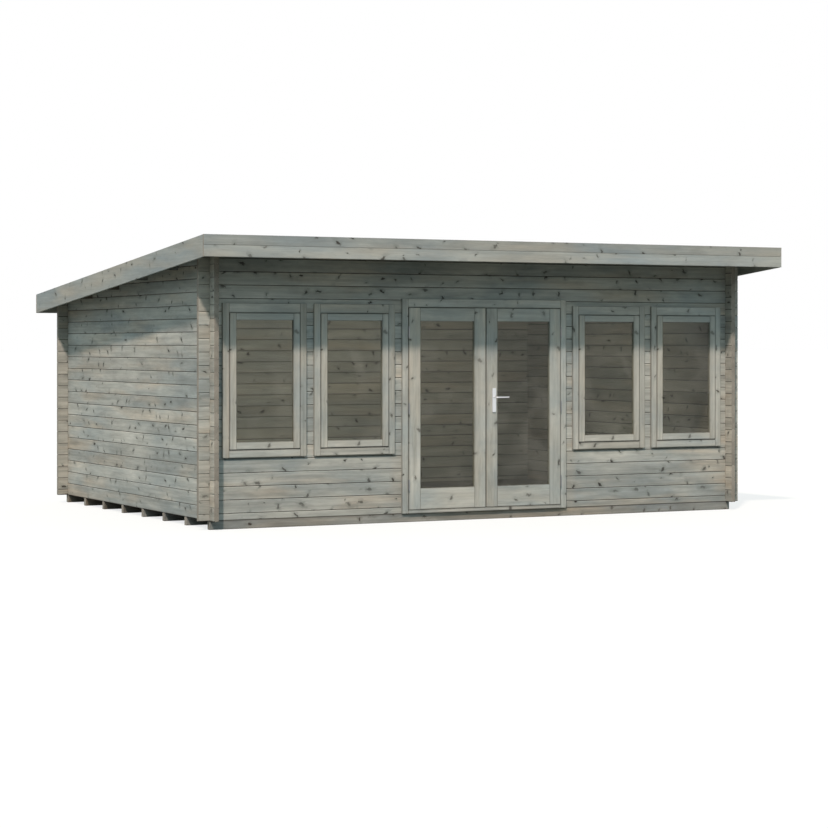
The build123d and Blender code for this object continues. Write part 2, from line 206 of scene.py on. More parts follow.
# Pine. Stretches are repeats to the metre along, across and through the grain, or along X, Y
# and Z for the clouds. In the node inputs below, MapRange goes from 1 and 2 to 3 and 4, and Mix
# goes from 6 to 7 by the share 0.

PIECE_SHIFT = (61.0, 17.0, 5.0)
KNOT_STRETCH = (6.5, 7.5, 0.0)
FINE_STRETCH = (4.0, 230.0, 230.0)
WIDE_STRETCH = (1.1, 34.0, 34.0)
CLOUD_STRETCH = (0.7, 0.45, 1.9)
OWN_STRETCH = (0.9, 5.0, 5.0)
BLOTCH_STRETCH = (2.4, 11.0, 11.0)

# Knots: radii and wobble in the knots' own space, then where the core and the halo fade, in
# radii, and how dark the core is
KNOT_RADIUS = (0.05, 0.21)
KNOT_WOBBLE = (0.22, 0.22, 0.0)
KNOT_SLIMNESS = (1.0, 2.3, 1.0)
KNOT_CORE = (0.6, 1.15)
KNOT_HALO = (0.8, 3.4)
KNOT_DARKNESS = (0.45, 0.95)
KNOT_SWEEP = (0.0, 0.016, 0.0)

# Tones: the band of its noise in which each comes in, and its largest share
CLOUD_BAND = (0.42, 0.62)
TAN_BAND = (0.5, 0.72)
TAN_SHARE = 0.85
STREAK_BAND = (0.38, 0.68)
STREAK_SHARE = 0.5
LINE_BAND = (0.5, 0.78)
LINE_SHARE = 0.3
FIGURE_TURNS = 70.0
FIGURE_BAND = (0.3, 1.0)
FIGURE_SHARE = 0.16
HALO_SHARE = 0.34

# Tan tips fade out this far in, on pieces with at least this half length
TIP_FADE = (0.09, 0.15)
TIPPED_FROM = 0.3

# Ends: rings 10 mm apart round a heart that lies below the piece
HEART = (0.0, 0.022, 0.014)
RING_SCALE = 32.0
RING_TONES = ("#7B7970", "#928D80")

# Indoors
SHELTER_TINT = "#8E8576"
SHELTER_TINT_SHARE = 0.75
SHELTER_VEIL = "#8E8678"
SHELTER_VEIL_SHARE = 0.25

# Lighter and darker from piece to piece, and along each piece
PIECE_LEVEL = (0.88, 1.1)
BLOTCH_BAND = (0.3, 0.7)
BLOTCH_DARKER = 0.24
BLOTCH_LIGHTER = 0.2

# Dirt and painted shade at the joints: full this near a joint, gone at the fade, which is further
# off indoors, where the wider band is painted shade, and gone between two depths below the wide
# faces
DIRT_AND_SHADE = "#2E2B27"
DIRT_AND_SHADE_FULL = 3 * MM
DIRT_AND_SHADE_FADE = 7.5 * MM
SHADE_FADE_INDOORS = 5 * MM
DIRT_AND_SHADE_DEPTH = (7 * MM, 12 * MM)
GRAIN_RELIEF = 0.8 * MM


def pine_knots(tree, spread, knot_rate):
    """Knots 15 to 60 mm long and 150 mm apart, each an oval with its own slant. Returns the
    core, the halo and the core's darkness."""
    space = add(tree, "ShaderNodeVectorMath", {0: spread, 1: KNOT_STRETCH},
                operation="MULTIPLY").outputs[0]
    wobble = add(tree, "ShaderNodeTexNoise", {"Vector": space, "Scale": 5.0, "Detail": 3.0},
                 noise_dimensions="2D").outputs["Color"]
    bent = add(tree, "ShaderNodeVectorMath", {0: wobble, 1: KNOT_WOBBLE, 2: space},
               operation="MULTIPLY_ADD").outputs[0]
    cells = add(tree, "ShaderNodeTexVoronoi", {"Vector": bent, "Scale": 1.0},
                voronoi_dimensions="2D", feature="F1").outputs
    chance = add(tree, "ShaderNodeSeparateColor", {0: cells["Color"]}).outputs
    there = add(tree, "ShaderNodeMath", {0: chance[0], 1: knot_rate},
                operation="LESS_THAN").outputs[0]
    radius = add(tree, "ShaderNodeMapRange", {0: chance[1], 3: KNOT_RADIUS[0],
                                              4: KNOT_RADIUS[1]}).outputs[0]
    darkness = add(tree, "ShaderNodeMapRange", {0: chance[2], 3: KNOT_DARKNESS[0],
                                                4: KNOT_DARKNESS[1]}).outputs[0]
    arm = add(tree, "ShaderNodeVectorMath", {0: bent, 1: cells["Position"]},
              operation="SUBTRACT").outputs[0]
    slant = add(tree, "ShaderNodeTexWhiteNoise", {"Vector": cells["Position"]}).outputs["Value"]
    slant = add(tree, "ShaderNodeMath", {0: slant, 1: math.pi}, operation="MULTIPLY").outputs[0]
    arm = add(tree, "ShaderNodeVectorRotate", {"Vector": arm, "Axis": (0.0, 0.0, 1.0),
                                               "Angle": slant},
              rotation_type="AXIS_ANGLE").outputs[0]
    arm = add(tree, "ShaderNodeVectorMath", {0: arm, 1: KNOT_SLIMNESS},
              operation="MULTIPLY").outputs[0]
    length = add(tree, "ShaderNodeVectorMath", {0: arm}, operation="LENGTH").outputs["Value"]
    radii = add(tree, "ShaderNodeMath", {0: length, 1: radius}, operation="DIVIDE").outputs[0]
    core = add(tree, "ShaderNodeMapRange", {0: radii, 1: KNOT_CORE[0], 2: KNOT_CORE[1],
                                            3: 1.0, 4: 0.0}).outputs[0]
    core = add(tree, "ShaderNodeMath", {0: core, 1: there}, operation="MULTIPLY").outputs[0]
    halo = add(tree, "ShaderNodeMapRange", {0: radii, 1: KNOT_HALO[0], 2: KNOT_HALO[1],
                                            3: 1.0, 4: 0.0},
               interpolation_type="SMOOTHSTEP").outputs[0]
    halo = add(tree, "ShaderNodeMath", {0: halo, 1: there}, operation="MULTIPLY").outputs[0]
    return core, halo, darkness


def pine_grain(tree, spread, halo):
    """Grain swept round the knots: fine lines, drawn 4 mm wide so that they show on a whole
    cabin, and wide streaks."""
    sweep = add(tree, "ShaderNodeCombineXYZ", {1: halo}).outputs[0]
    swept = add(tree, "ShaderNodeVectorMath", {0: sweep, 1: KNOT_SWEEP, 2: spread},
                operation="MULTIPLY_ADD").outputs[0]
    return (drawn_out(tree, swept, FINE_STRETCH, {"Detail": 3.0, "Roughness": 0.6}),
            drawn_out(tree, swept, WIDE_STRETCH, {"Detail": 4.0, "Roughness": 0.55}))


def pine_tan(tree, spread, inset, reach, tip):
    """The share of tan: along each piece, and more at the tips of long ones."""
    own = drawn_out(tree, spread, OWN_STRETCH, {"Detail": 3.0, "Roughness": 0.5})
    share = add(tree, "ShaderNodeMapRange", {0: own, 1: TAN_BAND[0], 2: TAN_BAND[1],
                                             4: TAN_SHARE}).outputs[0]
    tips = add(tree, "ShaderNodeMapRange", {0: inset[0], 1: TIP_FADE[0], 2: TIP_FADE[1],
                                            3: tip, 4: 0.0}).outputs[0]
    half_length = add(tree, "ShaderNodeSeparateXYZ", {0: reach}).outputs[0]
    long_piece = add(tree, "ShaderNodeMath", {0: half_length, 1: TIPPED_FROM},
                     operation="GREATER_THAN").outputs[0]
    tips = add(tree, "ShaderNodeMath", {0: tips, 1: long_piece}, operation="MULTIPLY").outputs[0]
    return add(tree, "ShaderNodeMath", {0: share, 1: tips}, operation="MAXIMUM").outputs[0]


def pine_end(tree, grain):
    """The tone of sawn ends, with growth rings."""
    heart = add(tree, "ShaderNodeVectorMath", {0: grain, 1: HEART},
                operation="SUBTRACT").outputs[0]
    flat = add(tree, "ShaderNodeVectorMath", {0: heart, 1: (0.0, 1.0, 1.0)},
               operation="MULTIPLY").outputs[0]
    rings = add(tree, "ShaderNodeTexWave", {"Vector": flat, "Scale": RING_SCALE,
                                            "Distortion": 0.8, "Detail": 1.0},
                wave_type="RINGS", rings_direction="SPHERICAL").outputs["Fac"]
    return add(tree, "ShaderNodeMix", {0: rings, 6: colour(RING_TONES[0]),
                                       7: colour(RING_TONES[1])}, data_type="RGBA").outputs[2]


def pine_dirt_and_shade(tree, inset, indoors, dirt_and_shade):
    """The share of dirt and painted shade in the last few millimetres at the joints of the wide
    faces, which goes further out indoors as painted shade."""
    fade = add(tree, "ShaderNodeMath", {0: indoors, 1: SHADE_FADE_INDOORS, 2: DIRT_AND_SHADE_FADE},
               operation="MULTIPLY_ADD").outputs[0]
    edge = add(tree, "ShaderNodeMapRange", {0: inset[1], 1: DIRT_AND_SHADE_FULL, 2: fade, 3: dirt_and_shade,
                                            4: 0.0}).outputs[0]
    near_face = add(tree, "ShaderNodeMapRange", {0: inset[2], 1: DIRT_AND_SHADE_DEPTH[0],
                                                 2: DIRT_AND_SHADE_DEPTH[1], 3: 1.0, 4: 0.0}).outputs[0]
    return add(tree, "ShaderNodeMath", {0: edge, 1: near_face}, operation="MULTIPLY").outputs[0]


def pine_level(tree, spread, piece, mottle):
    """Each piece a little lighter or darker than the next, and blotched along by damp."""
    blotch = drawn_out(tree, spread, BLOTCH_STRETCH, {"Detail": 6.0, "Roughness": 0.65,
                                                      "Distortion": 0.4})
    blotch = add(tree, "ShaderNodeMapRange", {0: blotch, 1: BLOTCH_BAND[0], 2: BLOTCH_BAND[1],
                                              3: 1 - BLOTCH_DARKER * mottle,
                                              4: 1 + BLOTCH_LIGHTER * mottle}).outputs[0]
    level = add(tree, "ShaderNodeMapRange", {0: piece, 3: PIECE_LEVEL[0],
                                             4: PIECE_LEVEL[1]}).outputs[0]
    return add(tree, "ShaderNodeMath", {0: level, 1: blotch}, operation="MULTIPLY").outputs[0]


def weathered_pine(name, silver, slate, tan, shade, knot, roughness, knot_rate=0.62, dirt_and_shade=0.3,
                   tip=0.0, mottle=1.0):
    """Planed spruce or pine gone grey outdoors: matt, silver-grey with slate and tan clouds,
    streaks and growth figure along the grain, slanting dark knots with the grain swept round
    them, dirt and painted shade along its joints, rings on its ends, and browner where it
    faces indoors."""
    material, tree = new_material(name)
    place = add(tree, "ShaderNodeTexCoord").outputs["Object"]
    grain, reach, piece, end, indoors = marks(tree, "grain", "reach", "piece", "end", "indoors")
    inset = insets(tree, grain, reach)

    # each piece is cut from its own stretch of tree
    spread = add(tree, "ShaderNodeVectorMath", {0: piece, 1: PIECE_SHIFT, 2: grain},
                 operation="MULTIPLY_ADD").outputs[0]
    core, halo, darkness = pine_knots(tree, spread, knot_rate)
    fine, wide = pine_grain(tree, spread, halo)

    # clouds that run over several pieces
    cloud = drawn_out(tree, place, CLOUD_STRETCH, {"Scale": 1.2, "Detail": 5.0,
                                                   "Roughness": 0.6, "Distortion": 0.3})
    clouded = add(tree, "ShaderNodeMapRange", {0: cloud, 1: CLOUD_BAND[0],
                                               2: CLOUD_BAND[1]}).outputs[0]

    # tan along the piece, shade in streaks, lines and growth figure, then the knots
    tanned = pine_tan(tree, spread, inset, reach, tip)
    figure = add(tree, "ShaderNodeMath", {0: wide, 1: FIGURE_TURNS},
                 operation="MULTIPLY").outputs[0]
    figure = add(tree, "ShaderNodeMath", {0: figure}, operation="SINE").outputs[0]
    layers = [(clouded, slate), (tanned, tan)]
    for reading, (first, last), most in ((wide, STREAK_BAND, STREAK_SHARE * mottle),
                                         (fine, LINE_BAND, LINE_SHARE),
                                         (figure, FIGURE_BAND, FIGURE_SHARE)):
        shaded = add(tree, "ShaderNodeMapRange", {0: reading, 1: first, 2: last, 3: 0.0,
                                                  4: most}).outputs[0]
        layers.append((shaded, shade))
    haloed = add(tree, "ShaderNodeMath", {0: halo, 1: HALO_SHARE},
                 operation="MULTIPLY").outputs[0]
    knotted = add(tree, "ShaderNodeMath", {0: core, 1: darkness},
                  operation="MULTIPLY").outputs[0]
    layers += [(haloed, shade), (knotted, knot)]
    tone = colour(silver)
    for share, over in layers:
        tone = add(tree, "ShaderNodeMix", {0: share, 6: tone, 7: colour(over)},
                   data_type="RGBA").outputs[2]
    tone = add(tree, "ShaderNodeMix", {0: end, 6: tone, 7: pine_end(tree, grain)},
               data_type="RGBA").outputs[2]

    # indoors the rain never reaches it, so it stays browner and darker, with clear knots
    sheltered = add(tree, "ShaderNodeMix", {0: SHELTER_TINT_SHARE, 6: tone,
                                            7: colour(SHELTER_TINT)},
                    data_type="RGBA", blend_type="MULTIPLY").outputs[2]
    for share, over in ((SHELTER_VEIL_SHARE, SHELTER_VEIL), (knotted, knot)):
        sheltered = add(tree, "ShaderNodeMix", {0: share, 6: sheltered, 7: colour(over)},
                        data_type="RGBA").outputs[2]
    tone = add(tree, "ShaderNodeMix", {0: indoors, 6: tone, 7: sheltered},
               data_type="RGBA").outputs[2]

    level = pine_level(tree, spread, piece, mottle)
    tone = add(tree, "ShaderNodeVectorMath", {0: tone, "Scale": level},
               operation="SCALE").outputs[0]
    # dark along the joints: partly dirt, partly painted shade of the V-joints
    tone = add(tree, "ShaderNodeMix", {0: pine_dirt_and_shade(tree, inset, indoors, dirt_and_shade), 6: tone,
                                       7: colour(DIRT_AND_SHADE)}, data_type="RGBA").outputs[2]
    bump = add(tree, "ShaderNodeBump", {"Height": fine, "Strength": 0.35,
                                        "Distance": GRAIN_RELIEF})
    shader = add(tree, "ShaderNodeBsdfPrincipled", {"Base Color": tone, "Roughness": roughness,
                                                    "Specular IOR Level": 0.25,
                                                    "Normal": bump.outputs["Normal"]})
    add(tree, "ShaderNodeOutputMaterial", {"Surface": shader.outputs[0]})
    return material


# Other finishes

PANE_TINT = "#E8EAE6"
PANE_DUST = "#B9B7AC"
PANE_IOR = 1.36
DUST_BAND = (0.47, 0.75)
DUST_SHARE = (0.01, 0.08)
HANDLING = (-0.06, 0.08)
GRITS_TO_METRE = 250.0
GRIT_TONES = ("#393D3E", "#65696A")
GRIT_RELIEF = 1.0 * MM
FELT_DUST = "#767A6C"
FELT_DUST_BAND = (0.45, 0.75)
RAIN_RUN = "#303434"
RUN_STRETCH = (9.0, 0.7, 0.7)
RUN_BAND = (0.48, 0.72)
STRIP_LEVEL = (0.86, 1.12)
# the dark line at each lap: a bitumen bead, and painted shade under the lap's step
BITUMEN_AND_LAP_SHADE = "#1C1E1F"
LAP_LINE_FADE = (9 * MM, 15 * MM)
LAP_LINE_WANDER = 15 * MM


def float_glass():
    """Clear float glass, 4 mm: polished and a little dusty, so it tints what is behind it
    towards grey and mirrors the sky only at a slant. Light is let straight through, as a thin
    pane does, and the mirror is on its near face only, so that the far face can't trap light."""
    material, tree = new_material("clear_float_glass")
    place = add(tree, "ShaderNodeTexCoord").outputs["Object"]
    clear = add(tree, "ShaderNodeBsdfTransparent", {"Color": colour(PANE_TINT)})
    mirror = add(tree, "ShaderNodeBsdfGlossy", {"Color": WHITE, "Roughness": 0.02})
    slant = add(tree, "ShaderNodeFresnel", {"IOR": PANE_IOR}).outputs[0]
    far_side = add(tree, "ShaderNodeNewGeometry").outputs["Backfacing"]
    near_side = add(tree, "ShaderNodeMath", {0: 1.0, 1: far_side},
                    operation="SUBTRACT").outputs[0]
    slant = add(tree, "ShaderNodeMath", {0: slant, 1: near_side},
                operation="MULTIPLY").outputs[0]
    pane = add(tree, "ShaderNodeMixShader", {0: slant, 1: clear.outputs[0],
                                             2: mirror.outputs[0]})
    film = add(tree, "ShaderNodeTexNoise", {"Vector": place, "Scale": 3.2, "Detail": 5.0,
                                            "Distortion": 0.6}).outputs["Fac"]
    film = add(tree, "ShaderNodeMapRange", {0: film, 1: DUST_BAND[0], 2: DUST_BAND[1],
                                            3: DUST_SHARE[0], 4: DUST_SHARE[1]}).outputs[0]
    dust = add(tree, "ShaderNodeBsdfDiffuse", {"Color": colour(PANE_DUST)})
    dusty = add(tree, "ShaderNodeMixShader", {0: film, 1: pane.outputs[0], 2: dust.outputs[0]})
    add(tree, "ShaderNodeOutputMaterial", {"Surface": dusty.outputs[0]})
    return material


def satin_metal(name, tone, roughness):
    """Turned, brushed metal with a satin sheen and faint handling marks."""
    material, tree = new_material(name)
    place = add(tree, "ShaderNodeTexCoord").outputs["Object"]
    handled = add(tree, "ShaderNodeTexNoise", {"Vector": place, "Scale": 90.0,
                                               "Detail": 3.0}).outputs["Fac"]
    rough = add(tree, "ShaderNodeMapRange", {0: handled, 3: roughness + HANDLING[0],
                                             4: roughness + HANDLING[1]}).outputs[0]
    shader = add(tree, "ShaderNodeBsdfPrincipled", {"Base Color": colour(tone),
                                                    "Metallic": 1.0, "Roughness": rough})
    add(tree, "ShaderNodeOutputMaterial", {"Surface": shader.outputs[0]})
    return material


def mineral_felt():
    """Bitumen felt faced with crushed slate: dark grey, gritty and quite matt, with paler dust
    in the hollows, rain runs down the slope and a wandering dark line at the laps, partly a
    bitumen bead and partly painted shade under each lap's step. Real grit is 1 mm; it is drawn
    4 mm wide so that it shows."""
    material, tree = new_material("slate_faced_felt")
    place = add(tree, "ShaderNodeTexCoord").outputs["Object"]
    grain, reach, piece = marks(tree, "grain", "reach", "piece")
    grit = add(tree, "ShaderNodeTexVoronoi", {"Vector": place, "Scale": GRITS_TO_METRE}).outputs
    speck = add(tree, "ShaderNodeSeparateColor", {0: grit["Color"]}).outputs[0]
    dust = add(tree, "ShaderNodeTexNoise", {"Vector": place, "Scale": 1.1,
                                            "Detail": 5.0}).outputs["Fac"]
    dusty = add(tree, "ShaderNodeMapRange", {0: dust, 1: FELT_DUST_BAND[0],
                                             2: FELT_DUST_BAND[1], 4: 0.4}).outputs[0]
    runs = drawn_out(tree, place, RUN_STRETCH, {"Detail": 5.0, "Roughness": 0.65})
    washed = add(tree, "ShaderNodeMapRange", {0: runs, 1: RUN_BAND[0], 2: RUN_BAND[1],
                                              4: 0.5}).outputs[0]
    tone = colour(GRIT_TONES[0])
    for share, over in ((speck, GRIT_TONES[1]), (dusty, FELT_DUST), (washed, RAIN_RUN)):
        tone = add(tree, "ShaderNodeMix", {0: share, 6: tone, 7: colour(over)},
                   data_type="RGBA").outputs[2]
    level = add(tree, "ShaderNodeMapRange", {0: piece, 3: STRIP_LEVEL[0],
                                             4: STRIP_LEVEL[1]}).outputs[0]
    tone = add(tree, "ShaderNodeVectorMath", {0: tone, "Scale": level},
               operation="SCALE").outputs[0]

    # a wandering dark line at each lap, partly bitumen and partly painted shade of the lap
    wander = add(tree, "ShaderNodeTexNoise", {"Vector": place, "Scale": 14.0,
                                              "Detail": 3.0}).outputs["Fac"]
    wander = add(tree, "ShaderNodeMath", {0: wander, 1: 2 * LAP_LINE_WANDER, 2: -LAP_LINE_WANDER},
                 operation="MULTIPLY_ADD").outputs[0]
    edge = add(tree, "ShaderNodeMath", {0: insets(tree, grain, reach)[1], 1: wander},
               operation="ADD").outputs[0]
    lap_line = add(tree, "ShaderNodeMapRange", {0: edge, 1: LAP_LINE_FADE[0], 2: LAP_LINE_FADE[1],
                                            3: 0.85, 4: 0.0}).outputs[0]
    tone = add(tree, "ShaderNodeMix", {0: lap_line, 6: tone, 7: colour(BITUMEN_AND_LAP_SHADE)},
               data_type="RGBA").outputs[2]
    rough = add(tree, "ShaderNodeMapRange", {0: lap_line, 3: 0.92, 4: 0.45}).outputs[0]
    bump = add(tree, "ShaderNodeBump", {"Height": grit["Distance"], "Strength": 0.5,
                                        "Distance": GRIT_RELIEF})
    shader = add(tree, "ShaderNodeBsdfPrincipled", {"Base Color": tone, "Roughness": rough,
                                                    "Normal": bump.outputs["Normal"]})
    add(tree, "ShaderNodeOutputMaterial", {"Surface": shader.outputs[0]})
    return material


LOG_PINE = weathered_pine("planed_log_pine_weathered", silver="#B0B2A8", slate="#959D99",
                          tan="#B5AC99", shade="#6F766F", knot="#2A2520", roughness=0.82,
                          dirt_and_shade=0.95, tip=0.3, mottle=0.85)
JOINERY_PINE = weathered_pine("planed_joinery_pine_weathered", silver="#B3B4A9",
                              slate="#9EA6A1", tan="#B4B0A0", shade="#7C827B", knot="#38322B",
                              roughness=0.78, knot_rate=0.5, dirt_and_shade=0.35, mottle=0.8)
FASCIA_PINE = weathered_pine("sawn_fascia_pine_weathered", silver="#A0A49C", slate="#8B9594",
                             tan="#A4A193", shade="#707670", knot="#332E28", roughness=0.85,
                             knot_rate=0.5, dirt_and_shade=0.12, mottle=0.55)
SAWN_PINE = weathered_pine("sawn_pine_sheltered", silver="#8C8E86", slate="#7E8583",
                           tan="#938A77", shade="#62635B", knot="#332B24", roughness=0.88,
                           dirt_and_shade=0.5)
GLASS = float_glass()
HANDLE_METAL = satin_metal("satin_aluminium", "#D8DADC", 0.3)
ZINC = satin_metal("dull_zinc_plate", "#8A8D8E", 0.5)
FELT = mineral_felt()


# Timber pieces

def islands(bm):
    """The separate boards or logs of a mesh, each as a list of its faces."""
    reached = set()
    found = []
    for start in bm.faces:
        if start in reached:
            continue
        reached.add(start)
        queue = [start]
        group = []
        while queue:
            face = queue.pop()
            group.append(face)
            for vert in face.verts:
                for other in vert.link_faces:
                    if other not in reached:
                        reached.add(other)
                        queue.append(other)
        found.append(group)
    found.sort(key=lambda g: tuple(round(c, 4) for c in min((f.calc_center_median() for f in g),
                                                           key=lambda p: (p.x, p.y, p.z))))
    return found


def lone_copy(group):
    """One island as a mesh of its own."""
    bm = bmesh.new()
    made = {}
    for face in group:
        corners = []
        for vert in face.verts:
            if vert not in made:
                made[vert] = bm.verts.new(vert.co)
            corners.append(made[vert])
        bm.faces.new(corners)
    return bm


def node_pieces(node):
    """The separate boards or logs of a frame node, each as a mesh of its own."""
    bm = bmesh.new()
    bm.from_mesh(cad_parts[node].data)
    bmesh.ops.remove_doubles(bm, verts=bm.verts, dist=WELD)
    pieces = [lone_copy(group) for group in islands(bm)]
    bm.free()
    return pieces


def span(verts):
    """The low and the high corner of the box round some vertices."""
    return [Vector([pick(v.co[i] for v in verts) for i in range(3)]) for pick in (min, max)]


ROOM_LOW, ROOM_HIGH = (Vector(corner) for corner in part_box("floor_boards"))
ROOM_MARGIN = 0.05
OUTWARD_LEAN = 0.2
LOOKS_DOWN = -0.5
LOOKS_ALONG = 0.8


def faces_indoors(centre, normal):
    """True for a face that looks into the room, judged by the nearest wall, or down on it."""
    if not all(ROOM_LOW[i] - ROOM_MARGIN < centre[i] < ROOM_HIGH[i] + ROOM_MARGIN
               for i in (0, 1)):
        return False
    to_wall = [min(centre[i] - ROOM_LOW[i], ROOM_HIGH[i] - centre[i]) for i in (0, 1)]
    i = 0 if to_wall[0] < to_wall[1] else 1
    inward = (ROOM_LOW[i] + ROOM_HIGH[i]) / 2 - centre[i]
    return normal[i] * inward > -OUTWARD_LEAN * abs(inward) or normal.z < LOOKS_DOWN


def mark_grain(mesh, run=None):
    """Writes the marks that the pine and felt finishes read. Without a run, the grain follows
    the longest side of each piece; across it is the wider of the other two sides."""
    bm = bmesh.new()
    bm.from_mesh(mesh)
    grain = bm.verts.layers.float_vector.new("grain")
    reach = bm.verts.layers.float_vector.new("reach")
    piece = bm.faces.layers.float.new("piece")
    end = bm.faces.layers.float.new("end")
    indoors = bm.faces.layers.float.new("indoors")
    picks = random.Random(SEED + len(bm.verts))
    bm.normal_update()
    for group in islands(bm):
        verts = {v for f in group for v in f.verts}
        low, high = span(verts)
        side = high - low
        u = "xyz".index(run) if run else max(range(3), key=lambda i: side[i])
        v, w = sorted((i for i in range(3) if i != u), key=lambda i: -side[i])
        middle = (low + high) / 2
        chance = picks.random()
        for vert in verts:
            away = vert.co - middle
            vert[grain] = Vector((away[u], away[v], away[w]))
            vert[reach] = Vector((side[u], side[v], side[w])) / 2
        for face in group:
            face[piece] = chance
            face[end] = float(abs(face.normal[u]) > LOOKS_ALONG)
            face[indoors] = float(faces_indoors(face.calc_center_median(), face.normal))
    bm.to_mesh(mesh)
    bm.free()


def eased(bm, arris):
    """Eases the edges of one piece, and returns it."""
    bmesh.ops.dissolve_limit(bm, angle_limit=FLAT, verts=bm.verts, edges=bm.edges)
    bm.normal_update()
    sharp = [e for e in bm.edges if len(e.link_faces) == 2 and e.calc_face_angle(0.0) > SHARP]
    bmesh.ops.bevel(bm, geom=sharp, offset=arris, offset_type="OFFSET", segments=2, profile=0.5,
                    affect="EDGES", clamp_overlap=True)
    return bm


def joined(name, parts):
    """One mesh object out of several bmeshes."""
    mesh = bpy.data.meshes.new(name)
    whole = bmesh.new()
    for bm in parts:
        step = bpy.data.meshes.new("step")
        bm.to_mesh(step)
        whole.from_mesh(step)
        bpy.data.meshes.remove(step)
        bm.free()
    whole.to_mesh(mesh)
    whole.free()
    return placed(name, mesh)


def stand_in(made, nodes, body, material):
    """Makes an object the visible form of some frame nodes."""
    made.data.materials.clear()
    made.data.materials.append(material)
    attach(made, body)
    if nodes:
        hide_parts(*nodes)
    return made


def timber(name, node, body, material, arris, run=None):
    """A frame node's boards or logs with eased edges and grain."""
    made = joined(name, [eased(part, arris) for part in node_pieces(node)])
    mark_grain(made.data, run)
    return stand_in(made, [node], body, material)


def hexahedron(corners):
    """A solid from eight corners: four below, anticlockwise from above, then four above."""
    bm = bmesh.new()
    verts = [bm.verts.new(c) for c in corners]
    for loop in ((3, 2, 1, 0), (4, 5, 6, 7), (0, 1, 5, 4), (1, 2, 6, 5), (2, 3, 7, 6),
                 (3, 0, 4, 7)):
        bm.faces.new([verts[i] for i in loop])
    return bm


def plank(low, high, fall=0.0):
    """A square-edged solid whose rear end is lower than its front by a fall."""
    (x0, y0, z0), (x1, y1, z1) = low, high
    return hexahedron([(x0, y0, z0), (x1, y0, z0), (x1, y1, z0 - fall), (x0, y1, z0 - fall),
                       (x0, y0, z1), (x1, y0, z1), (x1, y1, z1 - fall), (x0, y1, z1 - fall)])


# Rows and fixings, made by geometry nodes

def new_tree(name, inputs):
    """An empty node group with named inputs and one geometry output."""
    tree = bpy.data.node_groups.new(name, "GeometryNodeTree")
    for label, kind in inputs:
        tree.interface.new_socket(name=label, in_out="INPUT", socket_type=kind)
    tree.interface.new_socket(name="Geometry", in_out="OUTPUT",
                              socket_type="NodeSocketGeometry")
    return tree


def settled(tree, instances, finish):
    """Ends a tree with its instances made real, in their finish."""
    real = add(tree, "GeometryNodeRealizeInstances", {0: instances})
    done = add(tree, "GeometryNodeSetMaterial", {"Geometry": real.outputs[0],
                                                 "Material": finish})
    add(tree, "NodeGroupOutput", {0: done.outputs[0]})
    return tree


def board_row_tree():
    """One board repeated side by side along X."""
    tree = new_tree("board_row", [("Board", "NodeSocketObject"), ("Count", "NodeSocketInt"),
                                  ("Pitch", "NodeSocketFloat"),
                                  ("Finish", "NodeSocketMaterial")])
    given = add(tree, "NodeGroupInput").outputs
    step = add(tree, "ShaderNodeCombineXYZ", {0: given["Pitch"]})
    line = add(tree, "GeometryNodeMeshLine", {"Count": given["Count"],
                                              "Offset": step.outputs[0]}, mode="OFFSET")
    board = add(tree, "GeometryNodeObjectInfo", {"Object": given["Board"], "As Instance": True})
    row = add(tree, "GeometryNodeInstanceOnPoints", {"Points": line.outputs[0],
                                                     "Instance": board.outputs["Geometry"]})
    return settled(tree, row.outputs[0], given["Finish"])


def fixing_tree():
    """A head on each point of a mesh, turned to its facing attribute, each with its own twist."""
    tree = new_tree("fixings", [("Geometry", "NodeSocketGeometry"), ("Head", "NodeSocketObject"),
                                ("Seed", "NodeSocketInt"), ("Finish", "NodeSocketMaterial")])
    given = add(tree, "NodeGroupInput").outputs
    facing = add(tree, "GeometryNodeInputNamedAttribute", {"Name": "facing"},
                 data_type="FLOAT_VECTOR")
    aim = add(tree, "FunctionNodeAlignRotationToVector", {"Vector": facing.outputs[0]}, axis="Z")
    twist = add(tree, "FunctionNodeRandomValue", {"Min": (0.0, 0.0, -NAIL_TWIST),
                                                  "Max": (0.0, 0.0, NAIL_TWIST),
                                                  "Seed": given["Seed"]},
                data_type="FLOAT_VECTOR")
    turn = add(tree, "FunctionNodeRotateRotation", {0: aim.outputs[0], 1: twist.outputs[0]},
               rotation_space="LOCAL")
    head = add(tree, "GeometryNodeObjectInfo", {"Object": given["Head"], "As Instance": True})
    heads = add(tree, "GeometryNodeInstanceOnPoints", {"Points": given["Geometry"],
                                                       "Instance": head.outputs["Geometry"],
                                                       "Rotation": turn.outputs[0]})
    return settled(tree, heads.outputs[0], given["Finish"])


def grown(name, host_mesh, tree, values, helpers):
    """Runs a tree on a mesh and returns the result as a plain object."""
    host = placed(name + "_host", host_mesh)
    modifier = host.modifiers.new("nodes", "NODES")
    modifier.node_group = tree
    sockets = {s.name: s.identifier for s in tree.interface.items_tree if s.in_out == "INPUT"}
    for label, value in values.items():
        modifier[sockets[label]] = value
    bpy.context.view_layer.update()
    graph = bpy.context.evaluated_depsgraph_get()
    mesh = bpy.data.meshes.new_from_object(host.evaluated_get(graph))
    mesh.name = name
    host.modifiers.clear()
    for extra in [host] + helpers:
        bpy.data.objects.remove(extra)
    return placed(name, mesh)


BOARD_ROW = board_row_tree()
FIXINGS = fixing_tree()


def sheet_ends(node):
    """A sloping sheet's box, its underside and top at its front edge, and its fall to the
    rear."""
    low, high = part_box(node)
    heights = [(v.co.y, v.co.z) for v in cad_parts[node].data.vertices]
    front = [z for y, z in heights if y < low.y + 1 * MM]
    rear = [z for y, z in heights if y > high.y - 1 * MM]
    return low, high, min(front), max(front), max(front) - max(rear)


